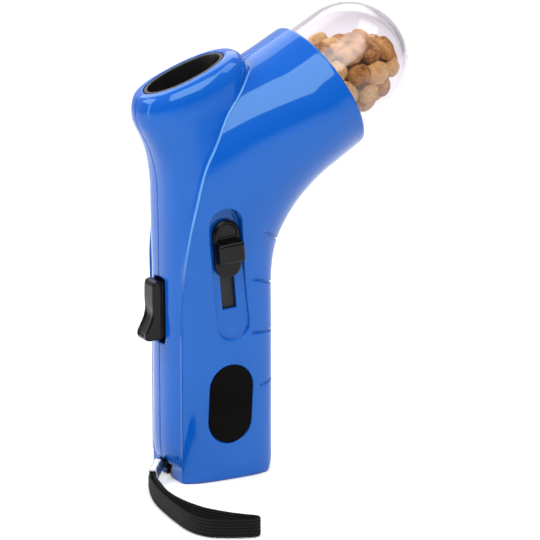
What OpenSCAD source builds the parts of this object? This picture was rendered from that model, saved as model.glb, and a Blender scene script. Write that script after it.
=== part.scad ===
// Hand-held treat launcher: a Y-shaped body whose handle carries a trigger and a
// spring-driven plunger, with a slanted oval muzzle in front and a domed treat
// hopper behind. Millimetres. +Z is up along the handle, -X is the muzzle side,
// and the mid-plane between the two shells is Y = 0. The handle stands on Z = 0.

/* [Body] */
// Depth of the handle, front to back
handle_d = 48; // [47:0.5:49]
// Width of the handle, side to side
handle_w = 35; // [34.5:0.5:36]
// Wall thickness of the shells
wall = 2.3; // [2.1:0.1:2.5]
// Outer radius of the hopper neck
hopper_r = 29.5; // [29.4:0.1:30]

/* [Hopper] */
// Outer radius of the clear dome
dome_r = 25; // [24.8:0.1:25.1]
// Wall thickness of the dome
dome_t = 2; // [1.6:0.1:2.2]
// Length of the dome's straight part beyond the hopper rim
dome_len = 16; // [14:1:18]
// Radius of one treat
treat_r = 4.7; // [4.2:0.1:4.8]

/* [Launcher] */
// Travel of the cocking slide
stroke = 22; // [18:1:22]
// Bore radius of the launch tube
tube_r = 11.6; // [11.5:0.05:11.7]
// Radius of the plunger
plunger_r = 11.3; // [11.1:0.1:11.3]
// Wire radius of the main spring
spring_wire = 0.7; // [0.5:0.1:0.8]
// Number of turns of the main spring
spring_turns = 8; // [6:1:9]

/* [Trigger] */
// Width of the trigger
trigger_w = 9; // [8:0.5:9]
// Radius of the trigger pin
trigger_pin_r = 1.5; // [1.4:0.05:1.5]
// Radius of the sear pin
sear_pin_r = 1.2; // [1.1:0.05:1.2]

/* [Strap] */
// Width of the wrist strap webbing
strap_w = 8; // [7:0.5:8]
// Thickness of the webbing
strap_t = 1.1; // [0.9:0.1:1.1]

/* [Hidden] */
$fn = 48;

blue = [0.10, 0.36, 0.85];
black = [0.08, 0.08, 0.085];

// The hopper axis leaves the body 30 degrees above level; the body bends round a
// point behind the handle.
hop_tilt = 30;
hop_c = [51, 0, 160];
bend_x = 84;
bend_z = 75;
bend_a = 60;
back_r = bend_x - handle_d / 2;
hd = handle_d / 2;
hw = handle_w / 2;
// The launch axis leans 4.5 degrees towards the muzzle.
lean = 4.5;
// The slide's recess leans a little further.
slide_tilt = 1.8;
launch_o = [5.5, 0, 12];

module launch() { translate(launch_o) rotate([0, -lean, 0]) children(); }
module hopper() { translate(hop_c) rotate([0, 90 - hop_tilt, 0]) children(); }
function launch_pt(u, v, w) = [launch_o[0] + u * cos(lean) - w * sin(lean), v, launch_o[2] + w * cos(lean) + u * sin(lean)];
function hopper_pt(h, s, y) = [hop_c[0] + h * cos(hop_tilt) - s * sin(hop_tilt), y, hop_c[2] + h * sin(hop_tilt) + s * cos(hop_tilt)];

// Superellipse coordinates
function sp(v, n) = sign(v) * pow(abs(v), 2 / n);

// A tube of rings joined by triangles, closed at both ends
function ring_faces(m, k) = concat(
  [for (i = [0:m - 2]) for (j = [0:k - 1]) each [
    [i * k + j, i * k + (j + 1) % k, (i + 1) * k + j],
    [i * k + (j + 1) % k, (i + 1) * k + (j + 1) % k, (i + 1) * k + j]]],
  [[for (j = [0:k - 1]) k - 1 - j], [for (j = [0:k - 1]) (m - 1) * k + j]]);
module loft(rings) {
  k = len(rings[0]);
  polyhedron(points = [for (r = rings) each r], faces = ring_faces(len(rings), k), convexity = 8);
}

// Rear body: handle, bend and hopper neck. Each entry is the bend angle, the shift
// along the section's normal, the section's centre radius, half depth, half width, exponent.
function body_secs(t) = [
  [0, -bend_z + (t > 0 ? t : 0), bend_x, hd - 1.3 - t * 0.6, hw - 1.3 - t * 0.6, 3.6],
  [0, -bend_z + 0.4 + t, bend_x, hd - 0.5 - t, hw - 0.5 - t, 3.6],
  [0, -bend_z + 1.5 + t, bend_x, hd - t, hw - t, 3.6],
  [0, -45, bend_x, hd - t, hw - t, 3.6],
  [0, -15, bend_x, hd - t, hw - t, 3.6],
  [0, 0, bend_x, hd - t, hw - t, 3.5],
  [5, 0, bend_x + 1.3, hd + 1.3 - t, hw + 0.2 - t, 3.3],
  [10, 0, bend_x + 3.6, hd + 3.6 - t, hw + 0.5 - t, 3],
  [15, 0, bend_x + 6, hd + 6 - t, hw + 1.1 - t, 2.7],
  [20, 0, bend_x + 7.8, hd + 7.8 - t, hw + 2 - t, 2.45],
  [25, 0, bend_x + 8.9, hd + 8.9 - t, hw + 3.2 - t, 2.32],
  [30, 0, bend_x + 9.2, hd + 9.2 - t, hw + 4.6 - t, 2.28],
  [35, 0, bend_x + 8.9, hd + 8.9 - t, hw + 6.2 - t, 2.2],
  [40, 0, bend_x + 8.2, hd + 8.2 - t, hw + 7.8 - t, 2.14],
  [45, 0, bend_x + 7.4, hd + 7.4 - t, hw + 9.3 - t, 2.1],
  [50, 0, bend_x + 6.7, hd + 6.7 - t, hw + 10.5 - t, 2.06],
  [55, 0, bend_x + 6, hd + 6 - t, hopper_r - 0.6 - t, 2.03],
  [60, 0, back_r + hopper_r, hopper_r - t, hopper_r - t, 2],
  [60, 9, back_r + hopper_r, hopper_r - 0.3 - t, hopper_r - 0.3 - t, 2],
  [60, 11.9, back_r + hopper_r, hopper_r - 0.8 - t, hopper_r - 0.8 - t, 2],
  [60, 13.2, back_r + hopper_r, hopper_r - 1.5 - t, hopper_r - 1.5 - t, 2],
  [60, 13.9, back_r + hopper_r, hopper_r - 2.6 - t, hopper_r - 2.6 - t, 2]];
function body_ring(s, k) = [for (j = [0:k - 1]) let (a = 360 * j / k,
    r = s[2] + s[3] * sp(cos(a), s[5]), y = s[4] * sp(sin(a), s[5]))
  [bend_x - r * cos(s[0]) + s[1] * sin(s[0]), y, bend_z + r * sin(s[0]) + s[1] * cos(s[0])]];
module rear_body(t, k, from = 0, to = 21) { loft([for (i = [from:to]) body_ring(body_secs(t)[i], k)]); }

// Front edge of the rear body, seen from the side: the raised ridge that runs from
// the handle's front corner up to the crotch behind the muzzle.
ridge = [[-20.5, -5], [-20.5, 75], [-19.8, 92], [-18.2, 105], [-15.6, 118], [-12.3, 131.8],
  [-6.7, 143.6], [-0.9, 154.3], [6, 162.4], [11.4, 168.5], [17, 174], [24, 180]];
module behind_ridge(off) {
  rotate([90, 0, 0]) linear_extrude(80, center = true)
    polygon(concat([for (p = ridge) [p[0] + off, p[1]]], [[40, 215], [140, 215], [140, -5]]));
}

// Barrel column in front of it, with a rounded toe and the flared muzzle head. Each entry
// is the front point, the rear point, the half width and the exponent.
function barrel_secs(t) = [
  [-20.2 + t, 5.6 + t, 10, 5.6 + t, 14.4 - t, 2.6],
  [-21.8 + t, 6.3 + t, 10, 6.3 + t, 15.6 - t, 2.6],
  [-23 + t, 8.4 + t, 10, 8.4 + t, 16.2 - t, 2.6],
  [-23.7 + t, 11.6 + t, 10, 11.6 + t, 16.5 - t, 2.6],
  [-24 + t, 17 + t, 10, 17 + t, 16.6 - t, 2.6],
  [-24 + t, 40, 10, 40, 16.6 - t, 2.6],
  [-24 + t, 88, 10, 88, 16.8 - t, 2.6],
  [-24 + t, 108, 13, 109, 17.8 - t, 2.8],
  [-24.2 + t, 122, 16, 125.5, 18.7 - t, 2.75],
  [-25.3 + t, 131.6, 18, 138, 19.1 - t, 2.65],
  [-27.4 + t, 139, 17.5, 148, 18.6 - t, 2.5],
  [-30.2 + t, 145.2, 15.5, 156.5, 17.9 - t, 2.4],
  [-32.6 + t, 149.8, 14.5, 163, 17.5 - t, 2.35],
  [-33.6 + t, 153, 14.5, 168, 17.4 - t, 2.3],
  [-33.8 + t, 155.8, 14.5, 171.8, 17.2 - t, 2.3],
  [-33.5 + t, 158.4, 13.6, 175, 16.6 - t, 2.3],
  [-32.9 + t, 160.8, 11.8, 177.2, 15.3 - t, 2.25],
  [-32.2 + t, 162, 9.7, 178.1, 13.8 - t, 2.2],
  [-31.3 + t, 162.7, 7.6, 178.2, 12.3 - t, 2.15]];
function barrel_ring(s, k) = let (c = [(s[0] + s[2]) / 2, (s[1] + s[3]) / 2], h = [(s[0] - s[2]) / 2, (s[1] - s[3]) / 2])
  [for (j = [0:k - 1]) let (a = 360 * j / k, u = sp(cos(a), s[5]))
    [c[0] + h[0] * u, s[4] * sp(sin(a), s[5]), c[1] + h[1] * u]];
module barrel_body(t, k, to = 18) { loft([for (i = [0:to]) barrel_ring(barrel_secs(t)[i], k)]); }

// Bore of the muzzle liner, from the round launch tube to the slanted oval mouth.
// Each entry is the front point, the rear point, the half width and the exponent.
liner_w0 = 132.4;
function liner_secs(g) = let (b = launch_pt(0, 0, liner_w0)) [
  [b[0] - tube_r - 0.1 - g, b[2] - 1, b[0] + tube_r + 0.1 + g, b[2] + 1, tube_r + 0.1 + g, 2],
  [-19.8 - g, 147.2, 6.6 + g, 151, 11.4 + g, 2.05],
  [-24.2 - g, 152.6, 6 + g, 160, 10.9 + g, 2.1],
  [-26.4 - g, 158.5, 4.4 + g, 168.3, 10.1 + g, 2.1],
  [-27.5 - g, 163.5, 3.6 + g, 176.9, 9.6 + g, 2.1],
  [-27.9 - g, 166, 4 + g, 179.9, 9.8 + g, 2.1]];
module liner_bore(g, k, to = 5) { loft([for (i = [0:to]) barrel_ring(liner_secs(g)[i], k)]); }

// Grip grooves, seen from the side: start point and slope
grooves = [[15.5, 105, 31], [10.5, 85, 18], [9.5, 62, 4], [13.2, 38.4, -11]];
screw_pts = [[-9, 20], [15, 13], [17.8, 64], [12.5, 162.5]];
module along_y(x, z, y0, y1, r, f = 24) { translate([x, y0, z]) rotate([-90, 0, 0]) cylinder(r = r, h = y1 - y0, $fn = f); }

strap_at = [-17.8, 0, 5.4];

// Stadium outline
module stadium(w, l) {
  square([w, l - w], center = true);
  for (s = [-1, 1]) translate([0, s * (l - w) / 2]) circle(d = w);
}

// What is taken off the back corner of the base
module back_corner(t) { translate([24, 0, 6.5]) rotate([0, 28.3, 0]) translate([-t, -40, -40]) cube([40, 80, 80]); }

// The hollow body, both halves
module body_solid() {
  difference() {
    union() {
      intersection() { rear_body(0, 44); behind_ridge(0); }
      barrel_body(0, 40);
    }
    // front bottom chamfer
    translate([-22.6, 0, 2.2]) rotate([0, -50, 0]) translate([-20, 0, 0]) cube([40, 60, 60], center = true);
    back_corner(0);
  }
}
module body_hollow() {
  difference() {
    union() {
      intersection() { rear_body(wall, 32, 1, 20); behind_ridge(1.2); }
      barrel_body(wall, 28, 13);
    }
    translate([-22.6, 0, 2.2]) rotate([0, -50, 0]) translate([-17, 0, 0]) cube([40, 60, 60], center = true);
    back_corner(wall);
    // block that carries the strap bar
    translate([-15, 0, 6]) cube([22, 14, 17], center = true);
  }
}

// One half shell; side is -1 on the right half and 1 on the left
module shell(side) {
  color(blue) resize([0, 0, 0]) intersection() {
    translate([-60, side > 0 ? 0 : -60, -5]) cube([200, 60, 220]);
    difference() {
      union() {
        difference() { body_solid(); body_hollow(); }
        intersection() {
          body_solid();
          union() {
            for (p = screw_pts) along_y(p[0], p[1], -40, 40, 3.3, 16);
            // shelf under the spring seat
            launch() translate([0, 0, 19.4]) cube([32, 60, 2], center = true);
            // pad behind the slide recess
            if (side < 0) launch() translate([0, -17.1, 76.5]) rotate([0, -slide_tilt, 0]) cube([18.5, 5.4, 61], center = true);
          }
        }
      }
      // room inside
      hull() { hopper() translate([0, 0, -1.2 - 15]) cylinder(r = 27.25, h = 15, $fn = 48); }
      hopper() translate([0, 0, -6]) cylinder(r = dome_r + 0.45, h = 12, $fn = 48);
      // gaps in the rim that let the dome's lugs in
      for (a = [60, 240]) hopper() rotate([0, 0, a]) translate([20, -3.2, -6]) cube([6.6, 6.4, 12]);
      liner_bore(1.95, 28);
      launch() translate([0, 0, 20.6]) cylinder(r = 13.5, h = 113, $fn = 40);
      // trigger window
      translate([-26, 0, 72.3]) cube([12, trigger_w + 1.2, 27.6], center = true);
      // strap notch
      translate([-23.3, 0, 7.6]) rotate([0, -40, 0]) translate([-14, -3.5, -9.9]) cube([21.6, 7, 9.9]);
      along_y(strap_at[0], strap_at[2], -6.1, 6.1, 1.7, 16);
      // screw holes
      for (p = screw_pts) {
        along_y(p[0], p[1], -10, 40, 1.3, 14);
        along_y(p[0], p[1], 10, 40, 2.7, 16);
      }
      if (side < 0) {
        // slide recess and slot
        launch() translate([0, -19.4, 76.5]) rotate([90, -slide_tilt, 0]) linear_extrude(7, center = true, convexity = 4) stadium(14.5, 57, $fn = 40);
        launch() translate([0, -16, 77.1]) cube([6.4, 10, 31.2], center = true);
        // recess of the side plate
        translate([0.4, -19.6, 32.8]) rotate([90, 3, 0]) linear_extrude(6, center = true) stadium(20, 33.4, $fn = 40);
      }
      // grip grooves across the back of the handle
      difference() {
        for (g = grooves) translate([g[0], 0, g[1]]) rotate([0, g[2], 0]) translate([15, 0, 0]) cube([30, 60, 1], center = true);
        rear_body(0.8, 44);
      }
    }
  }
}
module right_shell() { shell(-1); }
module left_shell() { shell(1); }

// Black lining of the muzzle
module muzzle_liner() {
  color(black) resize([0, 0, 0]) difference() {
    liner_bore(1.6, 36, 4);
    liner_bore(0, 36);
    launch() translate([0, 0, 120]) cylinder(r = 14, h = liner_w0 - 120 + 0.1, $fn = 24);
  }
}

module launch_tube() {
  color(black) launch() difference() {
    translate([0, 0, 26]) cylinder(r = 13.2, h = 106);
    translate([0, 0, 25]) cylinder(r = tube_r, h = 108);
    // slot of the plunger neck
    translate([-3.3, -20, 61.2]) cube([6.6, 20, 32]);
    // slot of the sear
    translate([-20, -3.2, 59.6]) cube([20, 6.4, 6]);
    // feed port
    translate([0, -9.5, 83]) cube([20, 19, 21]);
  }
}

module spring_seat() {
  color([0.2, 0.2, 0.21]) launch() {
    translate([0, 0, 20.8]) cylinder(r = 13.1, h = 5);
    translate([0, 0, 25]) cylinder(r = 6.6, h = 8);
  }
}

// Round wire swept along a list of points
function unit(v) = v / norm(v);
function sweep_rings(path, r, k, up) = [for (i = [0:len(path) - 1])
  let (d = unit(path[min(i + 1, len(path) - 1)] - path[max(i - 1, 0)]),
    n = unit(cross(up, d)), b = cross(d, n))
  [for (j = [0:k - 1]) path[i] + r * (cos(-360 * j / k) * n + sin(-360 * j / k) * b)]];

function coil(r, z0, z1, turns, per) = [for (i = [0:turns * per]) let (a = 360 * i / per)
  [r * cos(a), r * sin(a), z0 + (z1 - z0) * i / (turns * per)]];
module main_spring() {
  color([0.75, 0.76, 0.78]) launch()
    loft(sweep_rings(coil(8.6, 26.7, 78.9, spring_turns, 14), spring_wire, 6, [0, 0, 1]));
}

module plunger() {
  color([0.16, 0.16, 0.17]) launch() difference() {
    union() {
      translate([0, 0, 72]) cylinder(r = plunger_r, h = 32);
      translate([-2.8, -16.2, 84]) cube([5.6, 10, 8]);
    }
    translate([0, 0, 71]) cylinder(r = 9.8, h = 9);
    // sear catch
    translate([-14, -3.2, 83.2]) cube([5.2, 6.4, 5]);
    // dished face
    translate([0, 0, 112.5]) sphere(r = 12);
  }
}

module plunger_bumper() {
  color([0.13, 0.13, 0.13]) launch() translate([0, 0, 104.4]) difference() {
    cylinder(r = 11.5, h = 2.4);
    translate([0, 0, -1]) cylinder(r = 9.8, h = 5);
  }
}

module cocking_knob() {
  color(black) launch() translate([0, 0, 87.5]) rotate([90, 0, 0]) {
    translate([0, 0, 16.2]) linear_extrude(2.2, convexity = 4) stadium(12, 24.6);
    translate([0, 0, 18.4]) linear_extrude(0.7, convexity = 4) intersection() {
      stadium(10.8, 23.4);
      translate([-10, 4.4]) square([20, 10]);
    }
    hull() {
      translate([0, -0.9, 18.3]) linear_extrude(0.2) square([11.6, 10], center = true);
      translate([0, -1.1, 21]) linear_extrude(1.4) square([11.6, 8.2], center = true);
      translate([0, -1.1, 22]) linear_extrude(1.1) square([10, 6.6], center = true);
    }
  }
}

module slide_shutter() {
  color([0.2, 0.2, 0.21]) launch() difference() {
    translate([-5, -14.2, 59.5]) cube([10, 0.6, 55.5]);
    translate([-2.9, -20, 83.9]) cube([5.8, 20, 8.2]);
  }
}

// Chute from the hopper down to the port of the launch tube
module chute_form(g, end) {
  hull() {
    hopper() translate([0, 0, -14.4 - end]) cylinder(r = 25 - g, h = 1.6 + 2 * end, $fn = 40);
    launch() translate([11.8 - 6 * end, 0, 93.5]) rotate([0, 90, 0]) cylinder(r = 11.2 - g, h = 0.9 + 6 * end, $fn = 32);
  }
}
module feed_chute() {
  color([0.2, 0.2, 0.21]) resize([0, 0, 0]) difference() {
    chute_form(0, 0);
    chute_form(1.5, 0.4);
    launch() translate([0, 0, 60]) cylinder(r = 13.4, h = 60, $fn = 40);
  }
}

// Ring that the dome's two lugs lock into
module hopper_ring() {
  color(black) hopper() difference() {
    translate([0, 0, -12.2]) cylinder(r = 27, h = 10.8);
    translate([0, 0, -13]) cylinder(r = 21.6, h = 20);
    translate([0, 0, -9.4]) cylinder(r = dome_r + 0.35, h = 20);
    translate([0, 0, -8.4]) cylinder(r = 26.6, h = 3);
    for (s = [0, 180]) rotate([0, 0, s + 60]) translate([20, -3.2, -8.4]) cube([6.4, 6.4, 20]);
  }
}
module dome_gasket() {
  color([0.12, 0.12, 0.12]) hopper() translate([0, 0, -8.88]) rotate_extrude() translate([24, 0]) circle(r = 0.5);
}
module dome() {
  color([0.85, 0.9, 0.95, 0.35]) hopper() difference() {
    union() {
      translate([0, 0, -8]) cylinder(r = dome_r, h = 8 + dome_len);
      translate([0, 0, dome_len]) sphere(r = dome_r);
      for (s = [0, 180]) rotate([0, 0, s]) translate([dome_r - 1.2, -2.6, -8]) cube([2.4, 5.2, 2.2]);
    }
    translate([0, 0, -9]) cylinder(r = dome_r - dome_t, h = 9 + dome_len);
    translate([0, 0, dome_len]) sphere(r = dome_r - dome_t);
  }
}

// Treats: spheres on a close-packed grid, kept inside the dome and below a level fill line
fill_z = 172;
function along_hop(p) = (p[0] - hop_c[0]) * cos(hop_tilt) + (p[2] - hop_c[2]) * sin(hop_tilt);
function off_hop(p) = norm(p - hopper_pt(along_hop(p), 0, 0));
tg = 2 * treat_r + 0.3;
room = dome_r - dome_t - treat_r - 0.5;
treat_pts = [for (k = [-4:4]) for (j = [-4:4]) for (i = [-5:5])
  let (p = hopper_pt(14 + k * tg * 0.8165, (j + (abs(k) % 2) / 3) * tg * 0.866, (i + ((abs(j) + abs(k)) % 2) / 2) * tg))
  if (p[2] < fill_z && along_hop(p) > -4
    && (along_hop(p) < dome_len ? off_hop(p) < room : norm(p - hopper_pt(dome_len, 0, 0)) < room)) p];
module treats() {
  color([0.76, 0.58, 0.38]) for (p = treat_pts) translate(p) sphere(r = treat_r);
}

tr_p = [-17.6, 81.5];
se_p = [-15.4, 66.6];
trigger_hub = 7;
module trigger() {
  color(black) difference() {
    union() {
      // finger piece
      rotate([90, 0, 0]) linear_extrude(trigger_w, center = true, convexity = 4)
        polygon([[-21.6, 84.8], [-27, 85.5], [-28.2, 84.9], [-28.7, 83.4], [-28.8, 78], [-28.6, 73], [-29.2, 69.4], [-30.6, 66],
          [-32, 63.4], [-32.3, 62], [-31.8, 60.8], [-30.6, 60.2], [-25, 60.4], [-21.8, 60.6]]);
      // hub and tail inside the handle
      rotate([90, 0, 0]) linear_extrude(trigger_hub, center = true, convexity = 4)
        polygon([[-17.6, 84.4], [-20.6, 84.6], [-22.6, 84.4], [-22.6, 60.6], [-19.4, 60.8], [-19.4, 62.2], [-21, 63], [-21, 72],
          [-20.2, 78], [-17.6, 78.6]]);
      along_y(tr_p[0], tr_p[1], -trigger_hub / 2, trigger_hub / 2, 3, 32);
    }
    along_y(tr_p[0], tr_p[1], -10, 10, trigger_pin_r + 0.05, 32);
  }
}
module trigger_pin() { color([0.75, 0.76, 0.78]) along_y(tr_p[0], tr_p[1], -6.4, 6.4, trigger_pin_r, 32); }
module sear_pin() { color([0.75, 0.76, 0.78]) along_y(se_p[0], se_p[1], -6.4, 6.4, sear_pin_r, 32); }

// Torsion spring on the trigger pin: a leg down, one turn, a leg forward
spring_leg = 9;
module trigger_spring() {
  r = 2.15;
  path = concat([[r, 4.06, -spring_leg], [r, 4.06, -spring_leg / 2]],
    [for (i = [0:18]) [r * cos(20 * i), 4.08 + 0.62 * i / 18, r * sin(20 * i)]],
    [[r, 4.7, 2], [r - 0.4, 4.7, 3.6]]);
  color([0.75, 0.76, 0.78]) translate([tr_p[0], 0, tr_p[1]]) loft(sweep_rings(path, 0.22, 6, [0, 1, 0]));
}

module sear() {
  color([0.7, 0.71, 0.73]) difference() {
    union() {
      rotate([90, 0, 0]) linear_extrude(5.6, center = true, convexity = 4)
        polygon([[-17.2, 66.6], [-15.6, 72.6], [-15.4, 74.8], [-11.7, 74.8], [-11.5, 72.6], [-13.2, 72.2], [-13.6, 66.6],
          [-14.2, 60.4], [-16.4, 60.4]]);
      along_y(se_p[0], se_p[1], -2.8, 2.8, 2.2, 32);
    }
    along_y(se_p[0], se_p[1], -10, 10, sear_pin_r + 0.05, 32);
  }
}

// Frame that carries the trigger pin and the sear pin
module trigger_bracket() {
  color([0.2, 0.2, 0.21]) difference() {
    union() {
      for (s = [-1, 1]) translate([-20, s * 5.7 - 0.7, 55.6]) cube([7.4, 1.4, 33.4]);
      translate([-19.6, -6.4, 88]) cube([5.6, 12.8, 1.6]);
      translate([-19.6, -6.4, 55]) cube([7, 12.8, 1.6]);
    }
    along_y(tr_p[0], tr_p[1], -10, 10, trigger_pin_r + 0.02, 32);
    along_y(se_p[0], se_p[1], -10, 10, sear_pin_r + 0.02, 32);
    launch() translate([0, 0, 30]) cylinder(r = 13.4, h = 80);
  }
}

module side_plate() {
  color([0.05, 0.05, 0.055]) translate([0.4, -16.7, 32.8]) rotate([90, 3, 0])
    linear_extrude(0.9, convexity = 4) stadium(19.6, 33);
}

module shell_screws() {
  color([0.7, 0.71, 0.73]) for (p = screw_pts) {
    along_y(p[0], p[1], -6, 10.2, 1.15, 24);
    difference() {
      along_y(p[0], p[1], 10.05, 11.8, 2.4, 24);
      translate([p[0], 11.6, p[1]]) cube([3, 1, 0.7], center = true);
      translate([p[0], 11.6, p[1]]) cube([0.7, 1, 3], center = true);
    }
  }
}

// Strap: anchor with its bar, cord loop, crimp and the webbing loop that lies on its edge
module strap_anchor() {
  color(black) difference() {
    rotate([90, 0, 0]) linear_extrude(6.7, center = true) polygon([[-20.1, 0.3], [-16.85, 0.3], [-11.35, 4.92], [-17.5, 12.25], [-20.1, 10.05]]);
    rotate([90, 0, 0]) linear_extrude(4.2, center = true) polygon([[-12.8, 5.05], [-19.05, 12.5], [-27, 6], [-20.5, -1.4]]);
    along_y(strap_at[0], strap_at[2], -6, 6, 1.55, 32);
  }
}
module strap_bar() { color([0.75, 0.76, 0.78]) along_y(strap_at[0], strap_at[2], -6, 6, 1.5, 24); }

crimp_a = [-25.2, -1.6, 6.5];
crimp_b = [-30.7, -6.9, 3.4];
crimp_d = unit(crimp_b - crimp_a);
crimp_l = norm(crimp_b - crimp_a);
crimp_up = unit([0, 0, 1] - crimp_d[2] * crimp_d);
module strap_crimp() {
  color([0.8, 0.8, 0.82]) translate(crimp_a) rotate([0, acos(crimp_d[2]), atan2(crimp_d[1], crimp_d[0])]) difference() {
    linear_extrude(crimp_l, convexity = 4) {
      square([3.6, 3.8], center = true);
      square([5.2, 2.2], center = true);
      for (i = [-1, 1]) for (j = [-1, 1]) translate([i * 1.8, j * 1.1]) circle(r = 0.8);
    }
    translate([0, 0, -1]) cylinder(r = 1.55, h = 3.2);
    translate([-2.15, -1.3, crimp_l - 3.2]) cube([4.3, 2.6, 5]);
  }
}
// One strand of the cord from the crimp's mouth to the bar, on the upper or lower side
function strand(s) = [crimp_a + crimp_d * 1.2 + s * 0.75 * crimp_up, crimp_a - crimp_d * 1.2 + s * 0.78 * crimp_up,
  [-22.4, -0.4, 5.85 + s * 0.85], [-20.4, -0.1, 5.5 + s * 1.6]];
module strap_cord() {
  up_side = strand(1);
  low_side = strand(-1);
  path = concat(up_side,
    [for (a = [105:-21:-105]) strap_at + 2.4 * [cos(a), 0, sin(a)]],
    [for (i = [3:-1:0]) low_side[i]]);
  color(black) loft(sweep_rings(path, 0.7, 8, [0, 1, 0]));
}

// Outer and inner run of the webbing and the fold at its end: place in plan, share of
// the full width, height of the lower edge
strap_route = [[-30.4, -5.8, 0.52, 1.75], [-31.8, -7.1, 0.52, 0.95], [-33.6, -9.8, 0.58, 0.45], [-36.2, -15.4, 0.74, 0.2],
  [-39.4, -24, 0.92, 0.2], [-41.9, -33.4, 1, 0.2], [-43.4, -44, 1, 0.2], [-44.4, -55.2, 1, 0.2], [-44.8, -64.6, 1, 0.2],
  [-43.8, -72.4, 1, 0.2], [-40.8, -78.2, 1, 0.2], [-36, -81.7, 1, 0.2], [-30.4, -84.5, 1, 0.2], [-25.4, -86.2, 1, 0.2], [-22.9, -86, 1, 0.2],
  [-22, -84.5, 1, 0.2], [-22.9, -82.8, 1, 0.2], [-25.8, -80, 1, 0.2], [-29.4, -76, 1, 0.2], [-33.2, -70.6, 1, 0.2],
  [-36.6, -64.4, 1, 0.2], [-39.2, -55, 1, 0.2], [-40.2, -46, 1, 0.2], [-39.8, -37.4, 1, 0.2], [-37.6, -28, 0.95, 0.2],
  [-34.8, -19.6, 0.76, 0.2], [-32.6, -13, 0.6, 0.45], [-30.9, -8, 0.52, 0.95], [-29.5, -6.6, 0.52, 1.75]];
function flat_rings(path, w, t) = [for (i = [0:len(path) - 1])
  let (q = path[min(i + 1, len(path) - 1)] - path[max(i - 1, 0)], n = [q[1], -q[0]] / norm([q[0], q[1]]), h = path[i][2] * w / 2)
  [for (e = [[-1, -0.7], [-1, 0.7], [-0.6, 1], [0.6, 1], [1, 0.7], [1, -0.7], [0.6, -1], [-0.6, -1]])
    [path[i][0] + n[0] * e[1] * t / 2, path[i][1] + n[1] * e[1] * t / 2, path[i][3] + h + e[0] * h]]];
module strap_webbing() { color(black) loft(flat_rings(strap_route, strap_w, strap_t)); }

right_shell();
left_shell();
muzzle_liner();
launch_tube();
spring_seat();
main_spring();
plunger();
plunger_bumper();
cocking_knob();
slide_shutter();
feed_chute();
hopper_ring();
dome_gasket();
dome();
treats();
trigger();
trigger_pin();
trigger_spring();
sear();
sear_pin();
trigger_bracket();
side_plate();
shell_screws();
strap_anchor();
strap_bar();
strap_cord();
strap_crimp();
strap_webbing();
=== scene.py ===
import bpy
import math
import numpy as np
import openvdb
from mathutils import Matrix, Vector


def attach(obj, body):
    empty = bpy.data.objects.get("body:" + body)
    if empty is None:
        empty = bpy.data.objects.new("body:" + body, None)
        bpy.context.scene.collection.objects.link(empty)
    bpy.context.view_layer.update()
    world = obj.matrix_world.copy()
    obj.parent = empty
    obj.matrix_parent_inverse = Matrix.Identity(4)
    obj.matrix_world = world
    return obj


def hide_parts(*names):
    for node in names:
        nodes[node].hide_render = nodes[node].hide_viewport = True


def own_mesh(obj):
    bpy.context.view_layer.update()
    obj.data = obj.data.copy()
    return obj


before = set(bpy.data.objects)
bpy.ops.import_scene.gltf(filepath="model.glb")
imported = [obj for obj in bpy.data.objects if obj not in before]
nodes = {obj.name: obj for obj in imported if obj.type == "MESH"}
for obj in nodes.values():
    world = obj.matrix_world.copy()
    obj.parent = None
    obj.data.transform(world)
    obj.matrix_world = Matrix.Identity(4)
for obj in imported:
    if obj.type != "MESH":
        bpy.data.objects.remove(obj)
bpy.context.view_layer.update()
MM = 0.001
scene = bpy.context.scene

# ---------------------------------------------------------------- camera
AZ, EL, DIST, SCALE = math.radians(28.0), math.radians(14.5), 1300.0, 2.4
right = np.array([math.cos(AZ), -math.sin(AZ), 0.0])
fwd = np.array([math.sin(AZ) * math.cos(EL), math.cos(AZ) * math.cos(EL), -math.sin(EL)])
up = np.cross(right, fwd)
aim = np.array([20.0, 0.0, 90.0]) + right * (16.6 / SCALE) - up * (14.7 / SCALE)
cam = bpy.data.objects.new("camera", bpy.data.cameras.new("camera"))
scene.collection.objects.link(cam)
cam.location = Vector((aim - DIST * fwd) * MM)
cam.rotation_mode = "QUATERNION"
cam.rotation_quaternion = Vector(fwd).to_track_quat("-Z", "Y")
cam.data.sensor_width = 36.0
cam.data.lens = 36.0 * DIST / (540.0 / SCALE)
cam.data.clip_start, cam.data.clip_end = 0.05, 50.0
scene.camera = cam
scene.view_settings.view_transform = "Standard"


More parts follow.
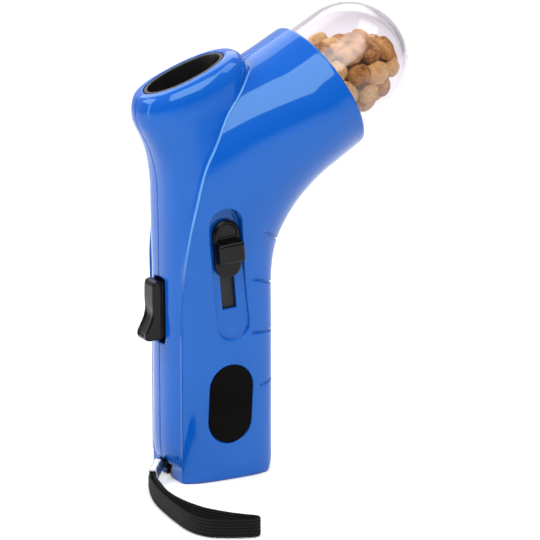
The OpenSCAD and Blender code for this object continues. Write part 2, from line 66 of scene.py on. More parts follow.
# ---------------------------------------------------------------- node helpers
class Mat:
    """A node material with a Principled shader and short ways to add the usual nodes."""

    def __init__(self, name):
        self.m = bpy.data.materials.new(name)
        self.m.use_nodes = True
        self.t = self.m.node_tree
        self.b = self.t.nodes["Principled BSDF"]

    def put(self, **kw):
        for k, v in kw.items():
            self.b.inputs[k.replace("_", " ")].default_value = v
        return self

    def new(self, kind, **kw):
        n = self.t.nodes.new(kind)
        for k, v in kw.items():
            if hasattr(n, k):
                setattr(n, k, v)
            else:
                n.inputs[k.replace("_", " ")].default_value = v
        return n

    def link(self, a, b):
        self.t.links.new(a, b)

    def coords(self, kind="Object"):
        return self.new("ShaderNodeTexCoord").outputs[kind]

    def scaled(self, v, s):
        n = self.new("ShaderNodeMapping")
        n.inputs["Scale"].default_value = s
        self.link(v, n.inputs["Vector"])
        return n.outputs["Vector"]

    def noise(self, v, scale, detail=3.0, rough=0.5, out="Fac"):
        n = self.new("ShaderNodeTexNoise")
        n.inputs["Scale"].default_value = scale
        n.inputs["Detail"].default_value = detail
        n.inputs["Roughness"].default_value = rough
        self.link(v, n.inputs["Vector"])
        return n.outputs[out]

    def ramp(self, f, stops):
        n = self.new("ShaderNodeValToRGB")
        e = n.color_ramp.elements
        while len(e) < len(stops):
            e.new(0.5)
        for el, (p, c) in zip(e, stops):
            el.position = p
            el.color = (*c, 1.0) if len(c) == 3 else c
        self.link(f, n.inputs["Fac"])
        return n.outputs["Color"]

    def span(self, f, a0, a1, b0, b1):
        n = self.new("ShaderNodeMapRange")
        for k, v in zip(("From Min", "From Max", "To Min", "To Max"), (a0, a1, b0, b1)):
            n.inputs[k].default_value = v
        self.link(f, n.inputs["Value"])
        return n.outputs["Result"]

    def math(self, op, a, b=None):
        n = self.new("ShaderNodeMath")
        n.operation = op
        for i, v in enumerate((a, b)):
            if v is None:
                continue
            if isinstance(v, (int, float)):
                n.inputs[i].default_value = v
            else:
                self.link(v, n.inputs[i])
        return n.outputs["Value"]

    def bump(self, h, strength, dist):
        n = self.new("ShaderNodeBump")
        n.inputs["Strength"].default_value = strength
        n.inputs["Distance"].default_value = dist
        self.link(h, n.inputs["Height"])
        self.link(n.outputs["Normal"], self.b.inputs["Normal"])
        return n

    def colour(self, c):
        self.link(c, self.b.inputs["Base Color"])

    def rough(self, r):
        self.link(r, self.b.inputs["Roughness"])


def gloss_material(name, dark, light, r0, r1, spec, ior=1.5, grain=1400.0, bump=0.06, tint=(1.0, 1.0, 1.0)):
    m = Mat(name).put(Specular_IOR_Level=spec, IOR=ior, Specular_Tint=(*tint, 1.0))
    v = m.coords()
    m.colour(m.ramp(m.noise(v, 38.0, 4.0), [(0.3, dark), (0.7, light)]))
    m.rough(m.span(m.noise(v, 160.0, 4.0), 0.3, 0.7, r0, r1))
    m.bump(m.noise(v, grain, 2.0), bump, 0.0001)
    return m.m


BLUE = gloss_material("blue_gloss", (0.0026, 0.079, 0.41), (0.0034, 0.087, 0.44), 0.05, 0.09, 0.5, 1.48, 900.0, 0.02, (0.62, 1.0, 0.86))
BLACK = gloss_material("black_gloss", (0.0025, 0.0025, 0.0026), (0.005, 0.0048, 0.0048), 0.08, 0.14, 0.20, 1.5, 2200.0, 0.05)
INNER = gloss_material("black_inner", (0.005, 0.005, 0.0055), (0.010, 0.010, 0.0105), 0.34, 0.46, 0.35, 1.5, 2600.0, 0.12)
PLATE = gloss_material("plate_matt", (0.0025, 0.0022, 0.002), (0.005, 0.0045, 0.0042), 0.42, 0.58, 0.03, 1.45, 3800.0, 0.2)
def edge_highlight_material():
    """The ridge edge with a painted highlight: the shell's blue on the handle, painted paler on the bend to stand in
    for the light it catches there.
    """
    m = Mat("blue_edge_painted_highlight").put(Specular_IOR_Level=0.6, IOR=1.5, Specular_Tint=(0.62, 1.0, 0.86, 1.0))
    v = m.coords()
    part = m.new("ShaderNodeSeparateXYZ")
    m.link(v, part.inputs["Vector"])
    # painted highlight: the colour grows paler with height over the bend, broken up a little by noise
    bend_highlight = m.span(part.outputs["Z"], 0.080, 0.112, 0.0, 0.85)
    painted_highlight = m.math("ADD", bend_highlight, m.math("MULTIPLY", m.noise(v, 260.0, 3.0), 0.15))
    m.colour(m.ramp(painted_highlight, [(0.1, (0.0030, 0.083, 0.42)), (0.95, (0.10, 0.29, 0.66))]))
    m.rough(m.span(m.noise(v, 160.0, 4.0), 0.3, 0.7, 0.08, 0.14))
    return m.m


BLUE_PAINTED_HIGHLIGHT = edge_highlight_material()
RUBBER = gloss_material("rubber", (0.012, 0.012, 0.012), (0.022, 0.022, 0.022), 0.6, 0.75, 0.3, 1.5, 2600.0, 0.2)


def steel_material(name, base, r0, r1):
    m = Mat(name).put(Metallic=1.0)
    v = m.scaled(m.coords(), (900.0, 900.0, 120.0))
    f = m.noise(v, 1.0, 3.0)
    m.colour(m.ramp(f, [(0.25, tuple(0.86 * c for c in base)), (0.75, base)]))
    m.rough(m.span(f, 0.3, 0.7, r0, r1))
    m.bump(f, 0.08, 0.0001)
    return m.m


STEEL = steel_material("steel", (0.62, 0.63, 0.65), 0.22, 0.36)
CRIMP = steel_material("crimp_metal", (0.46, 0.47, 0.49), 0.26, 0.38)


def dome_material():
    m = Mat("clear_dome").put(Base_Color=(0.955, 0.94, 0.96, 1.0), Transmission_Weight=1.0, IOR=1.16, Coat_Weight=0.8, Coat_IOR=1.5)
    haze = m.noise(m.coords(), 30.0, 3.0)
    m.rough(m.span(haze, 0.35, 0.75, 0.004, 0.02))
    m.link(m.span(haze, 0.35, 0.75, 0.10, 0.20), m.b.inputs["Coat Roughness"])
    depth = m.new("ShaderNodeVolumeAbsorption")
    depth.inputs["Color"].default_value = (0.70, 0.60, 0.72, 1.0)
    depth.inputs["Density"].default_value = 80.0
    m.link(depth.outputs["Volume"], m.t.nodes["Material Output"].inputs["Volume"])
    return m.m


DOME = dome_material()


def kibble_material():
    m = Mat("kibble").put(Specular_IOR_Level=0.25)
    v = m.coords()
    a = m.new("ShaderNodeAttribute", attribute_name="tone").outputs["Fac"]
    big = m.noise(v, 190.0, 4.0)
    fine = m.noise(v, 620.0, 6.0, 0.75)
    tone = m.math("ADD", m.math("MULTIPLY", big, 0.5), m.math("MULTIPLY", a, 0.5))
    mix = m.math("ADD", m.math("MULTIPLY", tone, 0.6), m.math("MULTIPLY", fine, 0.4))
    m.colour(m.ramp(mix, [(0.39, (0.18, 0.055, 0.009)), (0.45, (0.52, 0.215, 0.046)), (0.52, (0.74, 0.385, 0.11)), (0.64, (0.90, 0.60, 0.26))]))
    m.rough(m.span(fine, 0.3, 0.7, 0.62, 0.85))
    m.bump(fine, 1.0, 0.0012)
    return m.m


KIBBLE = kibble_material()


def webbing_material():
    m = Mat("webbing").put(Sheen_Weight=0.04, Sheen_Roughness=0.5, Specular_IOR_Level=0.14)
    u = m.new("ShaderNodeAttribute", attribute_name="along").outputs["Fac"]
    v = m.new("ShaderNodeAttribute", attribute_name="across").outputs["Fac"]
    rib = m.math("ABSOLUTE", m.math("SINE", m.math("MULTIPLY", v, math.pi)))
    lean = m.math("MULTIPLY", m.math("SINE", m.math("MULTIPLY", v, math.pi)), 1.6)
    stitch = m.math("SINE", m.math("ADD", m.math("MULTIPLY", u, 2 * math.pi / 0.00125), lean))
    fuzz = m.noise(m.coords(), 1500.0, 4.0, 0.7)
    h = m.math("ADD", m.math("ADD", m.math("MULTIPLY", rib, 0.5), m.math("MULTIPLY", stitch, 0.11)), m.math("MULTIPLY", fuzz, 0.35))
    # the colour follows the rib height: painted shade in the gaps between ribs and a painted highlight on the crests,
    # on top of the bump
    m.colour(m.ramp(h, [(0.22, (0.0008, 0.0007, 0.0007)), (0.55, (0.0042, 0.0036, 0.0036)), (0.72, (0.012, 0.010, 0.0096)), (0.95, (0.048, 0.040, 0.038))]))
    m.rough(m.span(fuzz, 0.3, 0.7, 0.7, 0.9))
    m.bump(h, 0.9, 0.0005)
    return m.m


WEBBING = webbing_material()


# ---------------------------------------------------------------- fields
class Table:
    """Smooth monotone curves through rows of numbers, read by linear steps of a fine sampling."""

    def __init__(self, x, y, samples=4000):
        x, y = np.asarray(x, float), np.asarray(y, float)
        h = np.diff(x)
        d = np.diff(y, axis=0) / h[:, None]
        m = np.zeros_like(y)
        m[0], m[-1] = d[0], d[-1]
        a, b = d[:-1], d[1:]
        w1, w2 = (2 * h[1:] + h[:-1])[:, None], (h[1:] + 2 * h[:-1])[:, None]
        safe = np.where(a * b > 0, a, 1.0), np.where(a * b > 0, b, 1.0)
        m[1:-1] = np.where(a * b > 0, (w1 + w2) / (w1 / safe[0] + w2 / safe[1]), 0.0)
        q = np.linspace(x[0], x[-1], samples)
        i = np.clip(np.searchsorted(x, q, side="right") - 1, 0, len(x) - 2)
        t = ((q - x[i]) / h[i])[:, None]
        hh = h[i][:, None]
        self.q = q
        self.v = ((2 * t**3 - 3 * t**2 + 1) * y[i] + (t**3 - 2 * t**2 + t) * hh * m[i]
                  + (-2 * t**3 + 3 * t**2) * y[i + 1] + (t**3 - t**2) * hh * m[i + 1])

    def __call__(self, q, k):
        return np.interp(q, self.q, self.v[:, k])


def smax(a, b, k):
    h = np.maximum(k - np.abs(a - b), 0.0)
    return np.maximum(a, b) + h * h / (4.0 * k)


def smin(a, b, k):
    return -smax(-a, -b, k)


def ease(v, a, b):
    t = np.clip((v - a) / (b - a), 0.0, 1.0)
    return t * t * (3 - 2 * t)


def oval(du, dv, hu, hv, n):
    """About the distance to a superellipse with half sizes hu and hv."""
    u, v = np.abs(du) / hu, np.abs(dv) / hv
    pu, pv = u ** (n - 1.0), v ** (n - 1.0)
    gn = np.maximum(pu * u + pv * v, 1e-9)
    g = gn ** (1.0 / n)
    slope = np.sqrt((pu / hu) ** 2 + (pv / hv) ** 2) + 1e-9
    return np.clip((g - 1.0) * (gn / g) / slope, -40.0, 80.0)


BEND_X, BEND_Z, TURN = 84.0, 75.0, 1.5
S60, C60 = math.sin(math.radians(60)), 0.5
REAR = [[-90, 84, 24, 17.5, 3.6], [-15, 84, 24, 17.5, 3.6], [0, 84, 24, 17.5, 3.5]]
for a, c, hd, hw, n in [(5, 85.3, 25.3, 17.7, 3.3), (10, 87.6, 27.6, 18.0, 3.0), (15, 90, 30, 18.6, 2.7), (20, 91.8, 31.8, 19.5, 2.45),
                        (25, 92.9, 32.9, 20.7, 2.32), (30, 93.2, 33.2, 22.1, 2.28), (35, 92.9, 32.9, 23.7, 2.2), (40, 92.2, 32.2, 25.3, 2.14),
                        (45, 91.4, 31.4, 26.8, 2.1), (50, 90.7, 30.7, 28.0, 2.06), (55, 90, 30, 28.9, 2.03), (60, 89.5, 29.5, 29.5, 2)]:
    REAR.append([a * TURN, c, hd, hw, n])
REAR += [[60 * TURN + 9, 89.5, 29.25, 29.25, 2], [60 * TURN + 20, 89.5, 28.9, 28.9, 2]]
REAR = np.array(REAR, float)
REAR_T = Table(REAR[:, 0], REAR[:, 1:])

BARREL = np.array([
    [-19.4, 5.4, 10, 5.4, 13.8, 2.6], [-20.2, 5.6, 10, 5.6, 14.4, 2.6], [-21.8, 6.3, 10, 6.3, 15.6, 2.6], [-23, 8.4, 10, 8.4, 16.2, 2.6],
    [-23.7, 11.6, 10, 11.6, 16.5, 2.6], [-24, 17, 10, 17, 16.6, 2.6], [-24, 40, 10, 40, 16.6, 2.6], [-24, 88, 10, 88, 16.8, 2.6], [-24, 108, 13, 109, 17.8, 2.8],
    [-24.2, 122, 16, 125.5, 18.7, 2.75], [-25.3, 131.6, 18, 138, 19.1, 2.65], [-27.4, 139, 17.5, 148, 18.6, 2.5],
    [-30.2, 145.2, 15.5, 156.5, 17.9, 2.4], [-32.6, 149.8, 14.5, 163, 17.5, 2.35], [-33.6, 153, 14.5, 168, 17.4, 2.3],
    [-33.8, 155.8, 14.5, 171.8, 17.2, 2.3], [-33.5, 158.4, 13.6, 175, 16.6, 2.3], [-32.9, 160.8, 11.8, 177.2, 15.3, 2.25],
    [-32.2, 162, 9.7, 178.1, 13.8, 2.2], [-31.3, 162.7, 7.6, 178.2, 12.3, 2.15]], float)
LEAN = math.radians(4.5)
CL, SL = math.cos(LEAN), math.sin(LEAN)
L0 = (5.5 - 132.4 * SL, 12.0 + 132.4 * CL)
LINER = np.array([
    [L0[0] - 11.7, L0[1] - 1, L0[0] + 11.7, L0[1] + 1, 11.7, 2], [-19.8, 147.2, 6.6, 151, 11.4, 2.05], [-24.2, 152.6, 6, 160, 10.9, 2.1],
    [-26.4, 158.5, 4.4, 168.3, 10.1, 2.1], [-27.5, 163.5, 3.6, 176.9, 9.6, 2.1], [-27.9, 166, 4, 179.9, 9.8, 2.1]], float)


class Loft:
    """A loft of superellipse sections whose long axes lie in the XZ plane."""

    def __init__(self, rows):
        mid = (rows[:, 0:2] + rows[:, 2:4]) / 2
        step = np.linalg.norm(np.diff(rows[:, 0:2], axis=0), axis=1) + np.linalg.norm(np.diff(rows[:, 2:4], axis=0), axis=1) + np.abs(np.diff(rows[:, 4])) + 0.2
        self.s = np.concatenate([[0], np.cumsum(step)])
        self.t = Table(self.s, rows)
        gx, gz = np.meshgrid(-40.0 + 2 * np.arange(57), -6.0 + 2 * np.arange(101), indexing="ij")
        lo, hi = np.zeros_like(gx), np.full_like(gx, self.s[-1])
        for _ in range(30):
            q = (lo + hi) / 2
            above = self.miss(q, gx, gz) > 0
            lo, hi = np.where(above, q, lo), np.where(above, hi, q)
        self.guess = (lo + hi) / 2

    def at(self, q):
        return [self.t(q, k) for k in range(6)]

    def miss(self, q, x, z):
        """How far a point of the XZ plane lies above the section at q, times the section's length."""
        fx, fz, rx, rz = (self.t(q, k) for k in range(4))
        return (rx - fx) * (z - fz) - (rz - fz) * (x - fx)

    def plane(self, x, z):
        """Section values at points of the XZ plane: centre distance along the axis, half length, half width, exponent, and how far past the ends."""
        i, j = np.clip((x + 40.0) / 2, 0, 55.999), np.clip((z + 6.0) / 2, 0, 99.999)
        a, b = i.astype(int), j.astype(int)
        i, j, g = i - a, j - b, self.guess
        q = (g[a, b] * (1 - i) + g[a + 1, b] * i) * (1 - j) + (g[a, b + 1] * (1 - i) + g[a + 1, b + 1] * i) * j
        for _ in range(3):
            c0, c1 = self.miss(q, x, z), self.miss(q + 0.01, x, z)
            q = np.clip(q - np.clip(c0 * 0.01 / np.where(np.abs(c1 - c0) < 1e-9, 1e9, c1 - c0), -3.0, 3.0), 0.0, self.s[-1])
        fx, fz, rx, rz, hw, n = self.at(q)
        hl = np.hypot(rx - fx, rz - fz) / 2
        along = ((x - (fx + rx) / 2) * (rx - fx) + (z - (fz + rz) / 2) * (rz - fz)) / (2 * hl)
        return along, hl, hw, n


BARREL_L, LINER_L = Loft(BARREL), Loft(LINER)
RIDGE = np.array([[-20.5, -5], [-20.5, 75], [-19.8, 92], [-18.2, 105], [-15.6, 118], [-12.3, 131.8], [-6.7, 143.6], [-0.9, 154.3],
                  [6, 162.4], [11.4, 168.5], [17, 174], [24, 180], [60, 205]], float)
RIDGE_T = Table(RIDGE[:, 1], RIDGE[:, :1])
TOP_N = np.array([-(178.2 - 162.7), 7.6 + 31.3])
TOP_N = TOP_N / np.linalg.norm(TOP_N)


def launch_axes(x, z):
    dx, dz = x - 5.5, z - 12.0
    return dx * CL + dz * SL, -dx * SL + dz * CL


def hopper_axes(x, z):
    dx, dz = x - 51.0, z - 160.0
    return dx * S60 + dz * C60, -dx * C60 + dz * S60


def stadium(a, b, w, l):
    return np.hypot(a, np.maximum(np.abs(b) - (l - w) / 2, 0.0)) - w / 2


C40, S40 = math.cos(math.radians(40)), math.sin(math.radians(40))
SCREWS = [(-9, 20), (15, 13), (17.8, 64), (12.5, 162.5)]
GROOVES = [(15.5, 105, 31), (10.5, 85, 18), (9.5, 62, 4), (13.2, 38.4, -11)]


def flat_values(x, z):
    """All that depends on x and z alone, so that a grid works it out once per column."""
    f = {"x": x, "z": z}
    ang = np.degrees(np.arctan2(z - BEND_Z, BEND_X - x))
    beyond = (x - BEND_X) * S60 + (z - BEND_Z) * C60
    low, far = z < BEND_Z, (ang > 60) & (beyond > 0)
    q = np.where(low, z - BEND_Z, np.where(far, 60 * TURN + beyond, ang * TURN))
    r = np.where(low, BEND_X - x, np.where(far, -(x - BEND_X) * C60 + (z - BEND_Z) * S60, np.hypot(BEND_X - x, z - BEND_Z)))
    f["rear"] = (r - REAR_T(q, 0), REAR_T(q, 1), REAR_T(q, 2), REAR_T(q, 3))
    f["barrel"] = BARREL_L.plane(x, z)
    f["liner"] = LINER_L.plane(x, z)
    slope = (RIDGE_T(z + 0.5, 0) - RIDGE_T(z - 0.5, 0))
    f["ridge"] = (RIDGE_T(z, 0) - x) / np.sqrt(1 + slope * slope)
    f["top"] = (x + 31.3) * TOP_N[0] + (z - 162.7) * TOP_N[1]
    f["launch"] = launch_axes(x, z)
    f["hopper"] = hopper_axes(x, z)
    f["low_liner"] = -((x - L0[0]) * -SL + (z - L0[1]) * CL)
    return f


def outside(f, y):
    """The outer skin of both halves together."""
    z = f["z"]
    d, hd, hw, n = f["rear"]
    rear = oval(d, y, hd, hw, n)
    rear = smax(rear, -z, 1.6)
    rear = smax(rear, f["hopper"][0], 1.6)
    rear = smax(rear, 0.88 * (f["x"] - 24) - 0.474 * (z - 6.5), 2.0)
    rear = smax(rear, f["ridge"], 0.5)
    d, hl, hw, n = f["barrel"]
    front = oval(d, y, hl, hw, n)
    front = smax(front, 5.6 - z, 1.0)
    front = smax(front, f["top"], 0.9)
    # the barrel runs up to the ridge in a soft hollow above the trigger
    return smin(rear, front, 0.6 + 1.3 * ease(z, 74, 98) * (1 - ease(z, 138, 152)))


def shells(f, y, side):
    """One half shell with its openings; side is -1 on the near half."""
    x, z = f["x"], f["z"]
    u, w = f["launch"]
    h, s = f["hopper"]
    skin = outside(f, y)
    # grip grooves that run out towards the handle's middle
    for gx, gz, ga in GROOVES:
        ca, sa = math.cos(math.radians(ga)), math.sin(math.radians(ga))
        lx, lz = (x - gx) * ca - (z - gz) * sa, (x - gx) * sa + (z - gz) * ca
        deep = 0.66 * np.clip((lx + 0.8) / 3.0, 0.0, 1.0)
        skin = skin + deep * np.clip(1.35 - (lz / 0.52) ** 2, 0.0, 1.0) * np.clip(2.0 - np.abs(skin) / 2.0, 0.0, 1.0)
    block = np.maximum(np.maximum(np.abs(x + 15) - 11, np.abs(y) - 7), np.abs(z - 6) - 8.5)
    room = np.maximum(skin + 2.3, -block)
    solid = np.maximum(skin, -room)
    for px, pz in SCREWS:
        d = np.hypot(x - px, z - pz)
        solid = np.minimum(solid, np.maximum(d - 3.9, skin + 0.4))
    solid = np.maximum(solid, -np.maximum(np.maximum(np.hypot(s, y) - 27.25, h + 1.2), -16.2 - h))
    solid = smax(solid, -np.maximum(np.hypot(s, y) - 25.45, -6.0 - h), 0.5)
    d, hl, hw, n = f["liner"]
    bore = np.maximum(oval(d, y, hl, hw, n) - 1.85, f["low_liner"])
    solid = smax(solid, -bore, 0.35)
    solid = np.maximum(solid, -np.maximum(np.hypot(u, y) - 13.5, np.abs(w - 77.1) - 56.5))
    # trigger window
    window = np.maximum(smax(np.abs(y) - 5.1, np.abs(z - 72.3) - 13.8, 2.0), np.abs(x + 26) - 6)
    solid = smax(solid, -window, 0.5)
    # strap notch
    lx, lz = (x + 23.3) * C40 + (z - 7.6) * S40, -(x + 23.3) * S40 + (z - 7.6) * C40
    notch = np.maximum(np.maximum(lx - 7.6, np.abs(y) - 3.5), np.abs(lz + 4.95) - 4.95)
    solid = smax(solid, -notch, 0.9)
    solid = np.maximum(solid, -np.maximum(np.hypot(x + 17.8, z - 5.4) - 1.7, np.abs(y) - 6.1))
    for px, pz in SCREWS:
        d = np.hypot(x - px, z - pz)
        solid = np.maximum(solid, -np.maximum(d - 1.3, -10 - y))
        solid = smax(solid, -np.maximum(d - 2.7, 10 - y), 0.5)
    if side < 0:
        ct, st = math.cos(math.radians(1.8)), math.sin(math.radians(1.8))
        ur, wr = u * ct + (w - 76.5) * st, -u * st + (w - 76.5) * ct
        pad = np.maximum(np.maximum(np.abs(ur) - 9.2, np.abs(wr) - 30.5), np.abs(y + 17.1) - 2.7)
        solid = np.minimum(solid, np.maximum(pad, skin + 0.1))
        recess = smax(stadium(ur, wr, 14.5, 57.0), y + 15.9, 0.6)
        solid = smax(solid, -recess, 0.55)
        slot = np.maximum(np.maximum(np.abs(u) - 3.2, np.abs(w - 77.1) - 15.6), np.abs(y + 16) - 5)
        solid = smax(solid, -slot, 0.4)
        c3, s3 = math.cos(math.radians(3)), math.sin(math.radians(3))
        a, b = (x - 0.4) * c3 - (z - 32.8) * s3, (x - 0.4) * s3 + (z - 32.8) * c3
        solid = smax(solid, -np.maximum(stadium(a, b, 20.0, 33.4), y + 16.6), 0.5)
    # parting plane
    return smax(solid, y + 0.04 if side < 0 else 0.04 - y, 0.55)


def mesh_of(name, points, faces, normals, material):
    me = bpy.data.meshes.new(name)
    me.from_pydata((np.asarray(points) * MM).tolist(), [], faces)
    me.validate(verbose=False)
    me.polygons.foreach_set("use_smooth", np.ones(len(me.polygons), bool))
    me.update()
    if normals is not None and len(normals) == len(me.vertices):
        me.normals_split_custom_set_from_vertices(normals.tolist())
    me.materials.append(material)
    o = bpy.data.objects.new(name, me)
    scene.collection.objects.link(o)
    return o


def field_mesh(name, at, lo, hi, step, material, flat=None, adapt=0.0):
    """A closed mesh of the zero level of a field; at(f, y) takes the column values and y, in millimetres."""
    lo, hi = np.asarray(lo, float), np.asarray(hi, float)
    n = np.ceil((hi - lo) / step).astype(int) + 1
    xs, ys, zs = (lo[k] + step * np.arange(n[k]) for k in range(3))
    flat = flat or (lambda x, z: {"x": x, "z": z})
    gx, gz = np.meshgrid(xs, zs, indexing="ij")
    f = flat(gx.ravel(), gz.ravel())

    def column(v):
        return v.reshape(len(xs), 1, len(zs)) if isinstance(v, np.ndarray) else v

    f3 = {k: tuple(column(q) for q in v) if isinstance(v, tuple) else column(v) for k, v in f.items()}
    grid_values = np.empty((len(xs), len(ys), len(zs)), np.float32)
    for j, y in enumerate(ys):
        grid_values[:, j, :] = np.broadcast_to(at(f3, np.full((1, 1, 1), y)), (len(xs), 1, len(zs)))[:, 0, :]
    np.clip(grid_values, -3 * step, 3 * step, out=grid_values)
    grid = openvdb.FloatGrid(3 * step)
    grid.copyFromArray(grid_values)
    points, tris, quads = grid.convertToPolygons(isovalue=0.0, adaptivity=adapt)
    p = points.astype(float) * step + lo

    def value(q):
        return at(flat(q[:, 0], q[:, 2]), q[:, 1])

    def gradient(q, e=0.04):
        g = np.empty_like(q)
        for k in range(3):
            d = np.zeros(3)
            d[k] = e
            g[:, k] = (value(q + d) - value(q - d)) / (2 * e)
        return g

    for _ in range(1 if step > 0.3 else 2):
        g = gradient(p)
        move = -(value(p) / np.maximum((g * g).sum(1), 0.05))[:, None] * g
        size = np.linalg.norm(move, axis=1, keepdims=True)
        p = p + move * np.minimum(1.0, 0.45 * step / np.maximum(size, 1e-9))
    g = gradient(p, 0.08)
    normals = g / np.maximum(np.linalg.norm(g, axis=1, keepdims=True), 1e-9)
    faces = [t[::-1] for t in tris.tolist()] + [q[::-1] for q in quads.tolist()]
    o = mesh_of(name, p, faces, None, material)
    me = o.data
    # the faces look outwards
    first = me.polygons[0]
    votes = 0.0
    for poly in list(me.polygons)[:: max(1, len(me.polygons) // 200)]:
        votes += float(np.dot(normals[poly.vertices[0]], poly.normal))
    if votes < 0:
        me.flip_normals()
    if len(me.vertices) == len(normals):
        me.normals_split_custom_set_from_vertices(normals.tolist())
    return o


# ---------------------------------------------------------------- wrist strap
STRAP_W, STRAP_T = 8.0, 1.1
# place in plan, share of the full width, height of the lower edge
ROUTE = [(-30.4, -5.8, 0.52, 1.75), (-31.8, -7.1, 0.52, 0.95), (-33.6, -9.8, 0.58, 0.45), (-36.2, -15.4, 0.74, 0.2), (-39.4, -24, 0.92, 0.2),
         (-41.9, -33.4, 1, 0.2), (-43.4, -44, 1, 0.2), (-44.4, -55.2, 1, 0.2), (-44.8, -64.6, 1, 0.2), (-43.8, -72.4, 1, 0.2),
         (-40.8, -78.2, 1, 0.2), (-36, -81.7, 1, 0.2), (-30.4, -84.5, 1, 0.2), (-25.4, -86.2, 1, 0.2), (-22.9, -86, 1, 0.2), (-22, -84.5, 1, 0.2),
         (-22.9, -82.8, 1, 0.2), (-25.8, -80, 1, 0.2), (-29.4, -76, 1, 0.2), (-33.2, -70.6, 1, 0.2), (-36.6, -64.4, 1, 0.2),
         (-39.2, -55, 1, 0.2), (-40.2, -46, 1, 0.2), (-39.8, -37.4, 1, 0.2), (-37.6, -28, 0.95, 0.2), (-34.8, -19.6, 0.76, 0.2),
         (-32.6, -13, 0.6, 0.45), (-30.9, -8, 0.52, 0.95), (-29.5, -6.6, 0.52, 1.75)]


def spline(pts, step):
    """Points a step apart on a smooth curve through pts."""
    p = np.asarray(pts, float)
    p = np.vstack([2 * p[0] - p[1], p, 2 * p[-1] - p[-2]])
    out = []
    for i in range(1, len(p) - 2):
        a, b, c, d = p[i - 1], p[i], p[i + 1], p[i + 2]
        t = np.linspace(0, 1, 60, endpoint=False)[:, None]
        out.append(0.5 * (2 * b + (c - a) * t + (2 * a - 5 * b + 4 * c - d) * t**2 + (3 * b - a - 3 * c + d) * t**3))
    q = np.vstack(out + [p[-2:-1]])
    s = np.concatenate([[0], np.cumsum(np.linalg.norm(np.diff(q, axis=0), axis=1))])
    n = int(s[-1] / step) + 1
    at = np.linspace(0, s[-1], n)
    return np.stack([np.interp(at, s, q[:, k]) for k in range(p.shape[1])], 1), s[-1]


def make_webbing():
    rows, length = spline(ROUTE, 0.22)
    path, half, low = rows[:, :2], rows[:, 2] * STRAP_W / 2, rows[:, 3]
    n = len(path)
    d = np.gradient(path, axis=0)
    d /= np.linalg.norm(d, axis=1, keepdims=True)
    side = np.stack([d[:, 1], -d[:, 0]], 1)
    ribs, thick = 6, STRAP_T / 2
    m = 54
    across = np.linspace(-1, 1, m)
    pts, along_a, across_a = [], [], []
    s = np.concatenate([[0], np.cumsum(np.linalg.norm(np.diff(path, axis=0), axis=1))])
    for sign in (1, -1):
        order = across if sign > 0 else across[::-1]
        for c in order:
            place = (c + 1) / 2 * ribs
            rib = math.sqrt(max(0.0, 1 - (2 * (place - math.floor(min(place, ribs - 1e-6))) - 1) ** 2))
            edge = max(0.0, 1 - abs(c) ** 10) ** 0.5
            lean = 1.0 if math.floor(min(place, ribs - 1e-6)) % 2 else -1.0
            plait = 0.06 * np.sin(2 * math.pi * s / 1.25 + lean * c * 16.0)
            t = edge * ((thick - 0.27) + 0.27 * rib + plait * rib)
            rim = 0.08 * np.sin(2 * math.pi * s / 1.25) * (abs(c) > 0.97)
            z = low + half + c * (half - 0.1) + math.copysign(1, c) * rim
            pts.append(np.stack([path[:, 0] + sign * side[:, 0] * t, path[:, 1] + sign * side[:, 1] * t, z], 1))
            along_a.append(s * MM)
            across_a.append(np.full(n, c * ribs / 2))
    ring = np.stack(pts, 1)
    k = ring.shape[1]
    verts = ring.reshape(-1, 3)
    faces = []
    for i in range(n - 1):
        a, b = i * k, (i + 1) * k
        for j in range(k):
            jj = (j + 1) % k
            faces.append((a + j, a + jj, b + jj, b + j))
    faces.append(tuple(range(k))[::-1])
    faces.append(tuple((n - 1) * k + j for j in range(k)))
    o = mesh_of("wrist_strap", verts, faces, None, WEBBING)
    for nm, arr in (("along", np.stack(along_a, 1)), ("across", np.stack(across_a, 1))):
        at = o.data.attributes.new(nm, "FLOAT", "POINT")
        at.data.foreach_set("value", arr.reshape(-1).astype(np.float32))
    centre = np.column_stack([path, low + half])
    run = np.linalg.norm(np.diff(centre, axis=0), axis=1).sum()
    return o, centre[::10] * MM, float(run) * MM


strap, strap_path, strap_length = make_webbing()


def tube(name, pts, radius, sides, material, step=0.3, twist=0.0, lobe=0.0, up=(0, 0, 1), smooth=True):
    """A round wire or cord along points, with lobes that wind round it."""
    path = spline(pts, step)[0] if smooth else np.asarray(pts, float)
    n = len(path)
    d = np.gradient(path, axis=0)
    d /= np.linalg.norm(d, axis=1, keepdims=True)
    ref = np.asarray(up, float)
    a = np.cross(ref, d)
    a /= np.linalg.norm(a, axis=1, keepdims=True)
    b = np.cross(d, a)
    s = np.concatenate([[0], np.cumsum(np.linalg.norm(np.diff(path, axis=0), axis=1))])
    rings = []
    radius = np.broadcast_to(np.asarray(radius, float), (n,))
    for j in range(sides):
        t = 2 * math.pi * j / sides
        r = radius * (1 + lobe * np.cos(3 * (t + twist * s)))
        rings.append(path + (r * math.cos(t))[:, None] * a + (r * math.sin(t))[:, None] * b if lobe else path + radius[:, None] * (math.cos(t) * a + math.sin(t) * b))
    verts = np.stack(rings, 1).reshape(-1, 3)
    faces = [(i * sides + j, i * sides + (j + 1) % sides, (i + 1) * sides + (j + 1) % sides, (i + 1) * sides + j) for i in range(n - 1) for j in range(sides)]
    faces += [tuple(range(sides))[::-1], tuple((n - 1) * sides + j for j in range(sides))]
    o = mesh_of(name, verts, faces, None, material)
    for nm in ("along", "across"):
        at = o.data.attributes.new(nm, "FLOAT", "POINT")
        v = np.repeat(s * MM, sides) if nm == "along" else np.tile(np.arange(sides) * 3.0 / sides, n)
        at.data.foreach_set("value", v.astype(np.float32))
    return o


